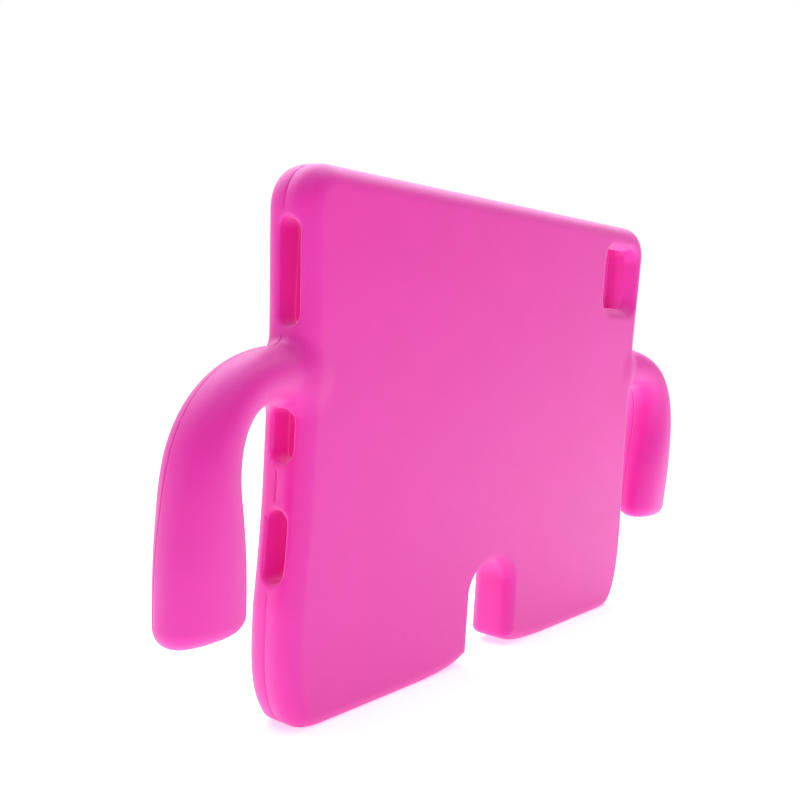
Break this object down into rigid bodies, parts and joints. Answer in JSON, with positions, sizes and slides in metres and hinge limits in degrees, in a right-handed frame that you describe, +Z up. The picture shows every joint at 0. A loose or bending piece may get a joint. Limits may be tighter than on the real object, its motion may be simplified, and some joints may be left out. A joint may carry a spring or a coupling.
{
  "type": "shockproof tablet case",
  "caption": "One-piece moulded foam tablet case that stands on its own feet, with hanging side grips, a framed tablet pocket, side slots and a camera window.",
  "frame": {"origin": "centre of the bounding box at floor level, under the soles", "axes": "+Z up, -Y out of the screen side, +Y out of the closed back, +X towards the wall with the slots"},
  "size_m": [0.4016, 0.0406, 0.2211],
  "materials": {
    "eva_foam": "matte closed-cell foam with a fine grain"
  },
  "bodies": {
    "root": {"foam_case": "eva_foam"}
  },
  "joints": []
}
